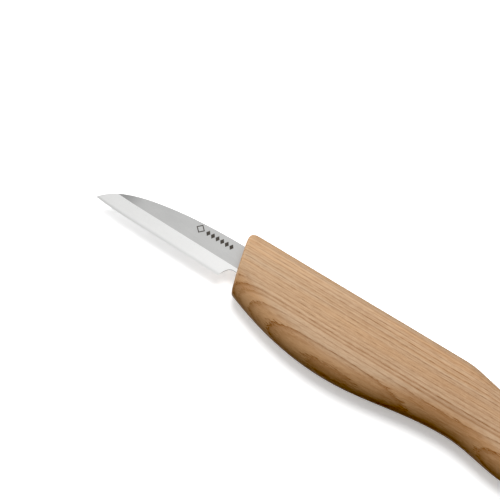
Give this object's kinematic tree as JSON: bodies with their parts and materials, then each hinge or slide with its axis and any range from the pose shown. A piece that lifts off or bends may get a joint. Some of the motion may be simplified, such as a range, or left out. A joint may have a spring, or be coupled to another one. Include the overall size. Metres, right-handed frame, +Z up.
{
  "type": "chip carving knife",
  "caption": "Short single-edged wood carving blade, flat ground on both sides, glued by a hidden tang into a bellied one-piece ash handle with flat sides.",
  "frame": {"origin": "on the flat side that the knife lies on, halfway along the handle and near the line of the tang", "axes": "+X from the blade's tip to the butt, +Y towards the spine, -Y towards the cutting edge, +Z up through the handle's thickness"},
  "size_m": [0.17, 0.0273, 0.02],
  "materials": {
    "blade_steel": "satin flats with finely ground, brighter bevels",
    "handle_ash": "sanded and oiled, open grain",
    "epoxy": "hardened amber glue"
  },
  "bodies": {
    "root": {"blade": "blade_steel", "handle": "handle_ash", "tang_epoxy": "epoxy"}
  },
  "joints": []
}
